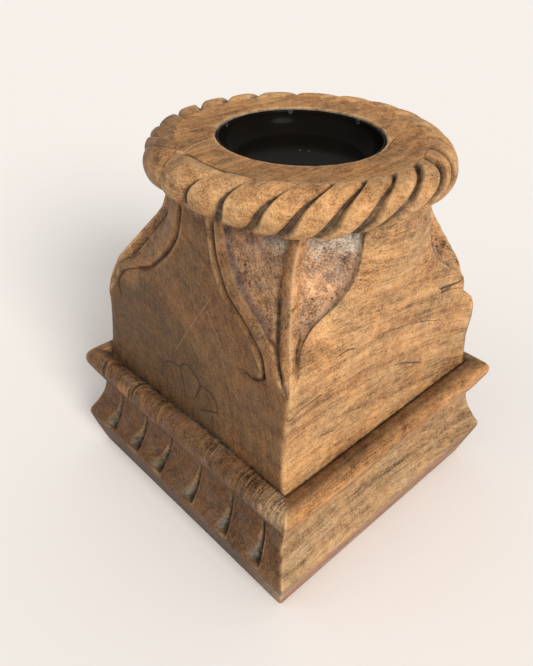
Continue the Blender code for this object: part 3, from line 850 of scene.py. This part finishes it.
def makeBlock():
    print("carving the block")
    patches, m = shapeBlock()
    tints = colourBlock(patches, m)
    grimeAndShade, residueAndSheen, worn = maskBlock(patches, m)
    blank = [np.zeros(patch.shape[:2]) for patch in patches]
    lines = [(blank[0] + 9, blank[0], blank[0] + 1), m["midLines"], (blank[2] + 9, blank[2], blank[2] + 1),
             m["topLines"]]
    endGrain = [m["lowEnds"], m["midEnds"], blank[2] + 0.4, blank[3]]
    rough = [np.maximum(m["chatter"], m["lowCarved"] * 0.45), np.clip(m["panel"] + m["rib"] * 0.5, 0, 1),
             blank[2] + 0.15, blank[3]]

    # rings of the four patches, zipped where they meet, then fans over the underside and the
    # hidden floor of the recess
    starts = np.cumsum([0] + [grid.size for grid in blank])
    quads = np.concatenate([wrapFaces(start, *grid.shape) for start, grid in zip(starts, blank)])
    first = [start + np.arange(grid.shape[1]) for start, grid in zip(starts, blank)]
    last = [end - grid.shape[1] + np.arange(grid.shape[1]) for end, grid in zip(starts[1:], blank)]
    verts = np.concatenate([patch.reshape(-1, 3) for patch in patches]
                           + [[[0, 0, 0], [*block["topShift"], topRing["floorHeight"]]]])
    tris = [fanFaces(first[0], starts[-1], False), fanFaces(last[3], starts[-1] + 1, True)]
    for n, centre in enumerate(((0, 0), block["topShift"], block["topShift"])):
        lowTurn, highTurn = turnOf(patches[n][-1], centre), turnOf(patches[n + 1][0], centre)
        lowOrder, highOrder = np.argsort(lowTurn), np.argsort(highTurn)
        tris.append(zipFaces(last[n][lowOrder], lowTurn[lowOrder],
                             first[n + 1][highOrder], highTurn[highOrder]))
    tris = np.concatenate(tris)
    piece = makePiece("carvedWood", verts, quads, tris, oldTeak())

    def paint(name, channels, middle):
        # one colour attribute from three masks per patch, with a plain value for the two cap points
        flat = np.concatenate([np.stack([c.reshape(-1) for c in patch], -1) for patch in channels]
                              + [np.tile(middle, (2, 1))])
        layer = piece.data.attributes.new(name, "FLOAT_COLOR", "POINT")
        colours = np.column_stack([flat, np.ones(len(flat))]).astype(np.float32)
        layer.data.foreach_set("color", colours.ravel())

    paint("stain", [np.moveaxis(tint, -1, 0) for tint in tints], stain["hiddenDie"])
    paint("carving", zip(grimeAndShade, residueAndSheen, worn), (0.3, 0.0, 0.0))
    paint("strokes", [(np.clip(0.5 + side / 16, 0, 1), near, tone) for side, near, tone in lines], (1, 0, 1))
    paint("texture", zip(rough, endGrain, [m["chatter"]] + blank[1:]), (0, 0, 0))
    print("block has", len(quads) * 2 + len(tris), "triangles")
    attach(piece, "root")
    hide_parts("carved_base")


class Nodes:
    # short ways to add and join shader nodes in one tree
    def __init__(self, tree):
        self.tree = tree

    def add(self, kind, **values):
        node = self.tree.nodes.new("ShaderNode" + kind)
        for key, value in values.items():
            setattr(node, key, value)
        return node

    def given(self, kind, inputs, **values):
        # a node with its named sockets filled
        node = self.add(kind, **values)
        for key, value in inputs.items():
            self.feed(node.inputs[key], value)
        return node

    def feed(self, socket, value):
        if isinstance(value, bpy.types.NodeSocket):
            self.tree.links.new(value, socket)
        else:
            socket.default_value = value

    def math(self, operation, *values):
        node = self.add("Math", operation=operation)
        for socket, value in zip(node.inputs, values):
            self.feed(socket, value)
        return node.outputs[0]

    def plus(self, a, b):
        return self.math("ADD", a, b)

    def times(self, product, *values):
        for value in values:
            product = self.math("MULTIPLY", product, value)
        return product

    def total(self, start, *terms):
        # a start plus the sum of each term's value times its weight
        for value, weight in terms:
            start = self.math("MULTIPLY_ADD", value, weight, start)
        return start

    def mix(self, share, a, b, blendType="MIX"):
        # colours sit on the seventh and eighth sockets of a mix node
        node = self.add("Mix", data_type="RGBA", blend_type=blendType)
        self.feed(node.inputs["Factor"], share)
        for socket, value in zip(node.inputs[6:8], (a, b)):
            self.feed(socket, value if isinstance(value, bpy.types.NodeSocket) else (*value, 1))
        return node.outputs[2]

    def noise(self, vector, scale, detail=3.0, roughness=0.55):
        return self.given("TexNoise", {"Vector": vector, "Scale": scale, "Detail": detail,
                                       "Roughness": roughness}).outputs["Fac"]

    def stretched(self, place, factors):
        # the three coordinates, each multiplied by its own factor
        node = self.add("CombineXYZ")
        for socket, value, factor in zip(node.inputs, place, factors):
            self.feed(socket, self.times(value, factor))
        return node.outputs[0]

    def spread(self, value, low, high):
        # eased change from 0 to 1 between two limits
        return self.given("MapRange", {"Value": value, "From Min": low, "From Max": high},
                          interpolation_type="SMOOTHSTEP").outputs[0]

    def painted(self, name):
        # the three channels of one of the mesh's own colour attributes, then their colour
        node = self.add("Attribute", attribute_name=name)
        parts = self.add("SeparateColor")
        self.feed(parts.inputs[0], node.outputs["Color"])
        return *parts.outputs, node.outputs["Color"]

    def relief(self, height, strength, distance):
        return self.given("Bump", {"Height": height, "Strength": strength,
                                   "Distance": distance}).outputs[0]


def newFinish(name):
    material = bpy.data.materials.new(name)
    material.use_nodes = True
    return material, Nodes(material.node_tree), material.node_tree.nodes["Principled BSDF"].inputs


wood = {
    # the log's middle line lies along Y, off the block's axis and below its middle; the fibres
    # sink towards the back with the square of the distance
    "pithX": -0.060, "pithZ": 0.107, "sag": 0.9, "sagFrom": -0.060, "ringPitch": 300.0,
    "grimeAndShade": (0.030, 0.019, 0.012), "residueAndSheen": (0.36, 0.42, 0.39), "wear": (0.62, 0.39, 0.19),
    "darkLine": (0.028, 0.020, 0.015), "paleLine": (0.56, 0.36, 0.18), "purple": (0.20, 0.145, 0.14),
    "redder": (1.06, 0.98, 0.88), "greyer": (0.97, 0.99, 0.99),
}


def oldTeak():
    # Old teak with its fibres along Y: rings round the log's middle line, long fibres, short pores,
    # grime and painted shade in the hollows, pale rubbed edges with a painted highlight on the rope's crests,
    # and a blue-green bloom in the deepest cuts and on the panels' tops, there partly painted sheen.
    material, n, inputs = newFinish("oldTeak")
    place = n.add("TexCoord").outputs["Object"]
    axes = n.add("SeparateXYZ")
    n.feed(axes.inputs[0], place)
    x, y, z = axes.outputs
    tint = n.painted("stain")[3]
    grimeAndShade, residueAndSheen, worn, _ = n.painted("carving")
    lineSide, lineNear, lineTone, _ = n.painted("strokes")
    roughMask, endGrain, chatterMask, _ = n.painted("texture")

    # grain coordinates
    run = n.plus(y, -wood["sagFrom"])
    level = n.total(n.plus(z, n.times(run, run, wood["sag"])), (n.noise(place, 11.0, 2.0), 0.014),
                    (n.noise(place, 60.0, 2.0), 0.0016))
    aside, below = n.plus(x, -wood["pithX"]), n.plus(level, -wood["pithZ"])
    ring = n.math("SQRT", n.plus(n.times(aside, aside), n.times(below, below)))
    bands = n.given("TexNoise", {"W": n.times(ring, wood["ringPitch"]), "Scale": 1.0, "Detail": 3.0},
                    noise_dimensions="1D")
    rings = n.spread(bands.outputs["Fac"], 0.34, 0.68)
    grain = (x, y, level)
    long = n.stretched(grain, (1.0, 0.055, 1.0))
    fibres = n.noise(long, 900.0, 3.0, 0.6)
    fibresWide = n.noise(long, 230.0, 3.0, 0.6)
    streaks = n.noise(n.stretched(grain, (0.8, 0.10, 1.0)), 70.0, 3.0, 0.6)
    pores = n.spread(n.noise(n.stretched(grain, (1.0, 0.16, 1.0)), 1500.0, 1.0, 0.5), 0.64, 0.72)
    scrape = n.noise(n.stretched((n.total(x, (z, 0.35)), y, z), (1.0, 1.0, 0.07)), 900.0, 2.0)
    chatter = n.spread(n.noise(n.stretched((x, y, z), (1.0, 0.1, 0.1)), 520.0, 2.0, 0.6), 0.38, 0.62)
    patches = n.noise(place, 24.0, 4.0, 0.6)
    mottle = n.noise(place, 130.0, 4.0, 0.65)
    grit = n.noise(place, 850.0, 3.0, 0.65)

    # lightness of the grain about its mean: lengthwise marks on the long sides, rings and scrapes
    # on the ends, with most contrast on the rough surfaces
    side = n.math("SUBTRACT", 1.0, endGrain)
    lengthwise = n.total(-0.41, (n.spread(fibresWide, 0.34, 0.66), 0.24),
                         (n.spread(streaks, 0.34, 0.66), 0.32), (n.spread(fibres, 0.34, 0.66), 0.30))
    scraped = n.total(-0.12, (n.spread(scrape, 0.36, 0.64), 0.24))
    chattered = n.total(-0.36, (chatter, 0.68))
    light = n.total(-0.59, (n.spread(patches, 0.30, 0.70), 0.24), (n.spread(mottle, 0.34, 0.66), 0.34),
                    (rings, n.total(0.14, (side, 0.08))), (lengthwise, side), (scraped, endGrain),
                    (chattered, chatterMask), (n.spread(grit, 0.36, 0.64), 0.40))
    light = n.math("MAXIMUM", n.total(1.0, (light, n.total(1.22, (roughMask, 0.55)))), 0.15)
    shade = n.add("CombineColor")
    for socket, power in zip(shade.inputs, (0.88, 1.0, 1.12)):
        n.feed(socket, n.math("POWER", light, power))
    colour = n.mix(1.0, tint, shade.outputs[0], "MULTIPLY")
    hue = n.mix(n.spread(n.noise(place, 42.0), 0.36, 0.64), wood["redder"], wood["greyer"])
    colour = n.mix(1.0, colour, hue, "MULTIPLY")

    # purple cast, pores, pits, rubbed edges with painted highlights, grime with painted shade, and bloom
    # partly painted sheen, each broken up by its own noise
    purple = n.spread(n.noise(place, 85.0), 0.50, 0.66)
    pits = n.times(n.spread(n.noise(place, 420.0, 3.0, 0.6), 0.60, 0.70), roughMask)
    rubbed = n.times(worn, n.spread(mottle, 0.30, 0.60))
    shadeAndDirtShare = n.math("MINIMUM", 1.0, n.total(0.0, (n.times(grimeAndShade, n.spread(mottle, 0.75, 0.28)), 0.6),
                                           (n.spread(grimeAndShade, 0.45, 1.0), 0.45)))
    residueAndSheenShare = n.times(residueAndSheen, n.spread(n.noise(place, 420.0, 4.0, 0.7), 0.48, 0.66),
                    n.spread(n.noise(place, 60.0, 2.0), 0.36, 0.60), 0.70)
    for name, share in (("purple", n.times(purple, roughMask, 0.30)), ("grimeAndShade", n.times(pores, 0.50)),
                        ("grimeAndShade", n.times(pits, 0.40)), ("wear", n.times(rubbed, 0.60)), ("grimeAndShade", shadeAndDirtShare),
                        ("residueAndSheen", residueAndSheenShare)):
        colour = n.mix(share, colour, wood[name])

    # incised lines: the painted distance crosses zero along each line
    off = n.math("ABSOLUTE", n.times(n.plus(lineSide, -0.5), 16.0))
    line = n.times(n.spread(off, 1.25, 0.45), n.spread(lineNear, 0.25, 0.8), n.spread(mottle, 0.22, 0.50))
    lineColour = n.mix(n.spread(lineTone, 0.1, 0.9), wood["paleLine"], wood["darkLine"])
    n.feed(inputs["Base Color"], n.mix(n.times(line, 0.80), colour, lineColour))
    n.feed(inputs["Roughness"], n.total(0.46, (mottle, 0.24), (shadeAndDirtShare, 0.22), (rubbed, -0.10)))
    inputs["Specular IOR Level"].default_value = 0.25
    height = n.total(0.0, (fibres, n.times(side, 0.35)), (fibresWide, n.times(side, 0.55)),
                     (scrape, n.times(endGrain, 0.45)), (mottle, 0.75), (chatter, n.times(chatterMask, 2.2)),
                     (pores, -0.35), (grit, n.total(0.20, (roughMask, 0.8))), (pits, -0.7),
                     (line, n.times(lineTone, -1.0)))
    n.feed(inputs["Normal"], n.relief(height, 0.85, 0.0006))
    return material


dish = {"outer": 0.0545, "wall": 0.0012, "under": 0.26471, "rim": 0.28031, "curveWidth": 0.0125,
        "columns": 160, "curveRows": 16, "flatRows": 9,
        # small round marks of dried drops: bearing, distance out, height, radius
        "drops": ((-157, 0.0532, 0.2797, 0.0013), (142, 0.0532, 0.2792, 0.0011), (86, 0.0532, 0.2791, 0.0013),
                  (133, 0.0130, 0.2659, 0.0007), (106, 0.0134, 0.2659, 0.0007))}


def makeDish():
    # the dish's section turned about the neck's axis: flat floor, wall rising in a quarter ellipse
    print("turning the dish")
    inner, floorZ = dish["outer"] - dish["wall"], dish["under"] + dish["wall"]
    floorR = inner - dish["curveWidth"]

    def bowl(reach, foot):
        a = np.linspace(0, math.pi / 2, dish["curveRows"])
        out, up = (reach - floorR) * np.sin(a), (dish["rim"] - foot) * (1 - np.cos(a))
        return np.stack([floorR + out, foot + up], -1)

    lip = np.array([[inner + dish["wall"] * share, dish["rim"] + 0.0001] for share in (0.25, 0.75)])
    steps = np.linspace(0.1, 1, dish["flatRows"] + 1)[:-1] * floorR
    floorRows, underRows = (np.stack([steps, np.full(len(steps), z)], -1) for z in (floorZ, dish["under"]))
    section = np.concatenate([underRows, bowl(dish["outer"], dish["under"]), lip[::-1],
                              bowl(inner, floorZ)[::-1], floorRows[::-1]])
    rows, columns = len(section), dish["columns"]
    turn = np.linspace(0, 2 * math.pi, columns, endpoint=False)[None, :]
    points = roundNeck(section[:, :1], turn, section[:, 1:])
    verts = np.concatenate([points.reshape(-1, 3), [[*block["topShift"], dish["under"]],
                                                    [*block["topShift"], floorZ]]])
    ring, count = np.arange(columns), rows * columns
    fans = np.concatenate([fanFaces(ring, count, False), fanFaces(count - columns + ring, count + 1, True)])
    piece = makePiece("blackDish", verts, wrapFaces(0, rows, columns), fans, blackLacquer())
    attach(piece, "root")
    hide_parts("black_dish")


def blackLacquer():
    # glossy black, a little brown, with dust, rubbing marks and a few rings left by dried drops
    material, n, inputs = newFinish("blackLacquer")
    place = n.add("TexCoord").outputs["Object"]
    cloudy = n.noise(place, 40.0)
    dust = n.spread(n.noise(place, 900.0, 2.0, 0.5), 0.74, 0.80)
    colour = n.mix(cloudy, (0.0045, 0.0040, 0.0036), (0.0090, 0.0072, 0.0058))
    colour = n.mix(n.times(dust, 0.4), colour, (0.12, 0.10, 0.09))
    for bearing, out, height, radius in dish["drops"]:
        gap = n.add("VectorMath", operation="DISTANCE")
        n.feed(gap.inputs[0], place)
        n.feed(gap.inputs[1], tuple(roundNeck(out, math.radians(bearing), height)))
        rim = n.math("ABSOLUTE", n.plus(gap.outputs["Value"], -radius))
        mark = n.times(n.spread(rim, 0.0004, 0.0001), n.spread(cloudy, 0.3, 0.5), 0.5)
        colour = n.mix(mark, colour, (0.20, 0.20, 0.19))
    n.feed(inputs["Base Color"], colour)
    n.feed(inputs["Roughness"], n.total(0.12, (cloudy, 0.16)))
    inputs["Specular IOR Level"].default_value = 0.017
    n.feed(inputs["Normal"], n.relief(n.noise(place, 130.0, 2.0), 0.15, 0.0005))
    return material


makeBlock()
makeDish()

# Floor, light and camera
reach, level = 8, -0.0003
floorPaint, _, floorInputs = newFinish("paleFloor")
floorInputs["Base Color"].default_value = (0.95, 0.93, 0.92, 1)
floorInputs["Roughness"].default_value = 1.0
floorInputs["Specular IOR Level"].default_value = 0.0
corners = np.array([[x * reach, y * reach, level] for x, y in ((-1, -1), (1, -1), (1, 1), (-1, 1))])
floor = makePiece("paleFloor", corners, np.arange(4)[None, :], np.zeros((0, 3), int), floorPaint)

studio = {
    # direction towards the lamp, strength, angular size in degrees, colour
    "key": ((0.84, -0.22, 0.52), 2.5, 26, (1.0, 0.955, 0.89)),
    "fill": ((-0.35, -0.80, 0.50), 0.30, 60, (1.0, 0.98, 0.96)),
}
for name, (toward, strength, size, colour) in studio.items():
    lamp = bpy.data.lights.new(name, "SUN")
    lamp.angle = math.radians(size)
    lamp.energy = strength
    lamp.color = colour
    thing = bpy.data.objects.new(name, lamp)
    thing.rotation_euler = (-Vector(toward)).to_track_quat("-Z", "Y").to_euler()
    bpy.context.scene.collection.objects.link(thing)

# the room lights the piece softly, and its paler backdrop is only seen
world = bpy.data.worlds.new("paleRoom")
world.use_nodes = True
room = Nodes(world.node_tree)
ambient = world.node_tree.nodes["Background"]
backdrop, choose = room.add("Background"), room.add("MixShader")
for light, colour, strength in ((ambient, (1.0, 0.965, 0.93, 1), 0.52),
                                (backdrop, (0.92, 0.87, 0.83, 1), 1.0)):
    light.inputs["Color"].default_value = colour
    light.inputs["Strength"].default_value = strength
for socket, source in zip(choose.inputs, (room.add("LightPath").outputs["Is Camera Ray"],
                                          ambient.outputs[0], backdrop.outputs[0])):
    room.feed(socket, source)
room.feed(world.node_tree.nodes["World Output"].inputs["Surface"], choose.outputs[0])
bpy.context.scene.world = world

# the camera turns about its target: azimuth, then elevation, then roll
view = {"azimuth": 45.74, "elevation": 35.95, "roll": 1.43, "distance": 0.5136, "focal": 645.5,
        "target": (-0.0132, -0.01008, 0.12), "tall": 666}
lens = bpy.data.cameras.new("photoView")
lens.sensor_width = 36
lens.lens = view["focal"] * 36 / view["tall"]
camera = bpy.data.objects.new("photoView", lens)
camera.matrix_world = (Matrix.Translation(view["target"])
                       @ Matrix.Rotation(math.radians(view["azimuth"]), 4, "Z")
                       @ Matrix.Rotation(math.radians(90 - view["elevation"]), 4, "X")
                       @ Matrix.Rotation(math.radians(view["roll"]), 4, "Z")
                       @ Matrix.Translation((0, 0, view["distance"])))
bpy.context.scene.collection.objects.link(camera)
bpy.context.scene.camera = camera
bpy.context.scene.view_settings.view_transform = "Standard"
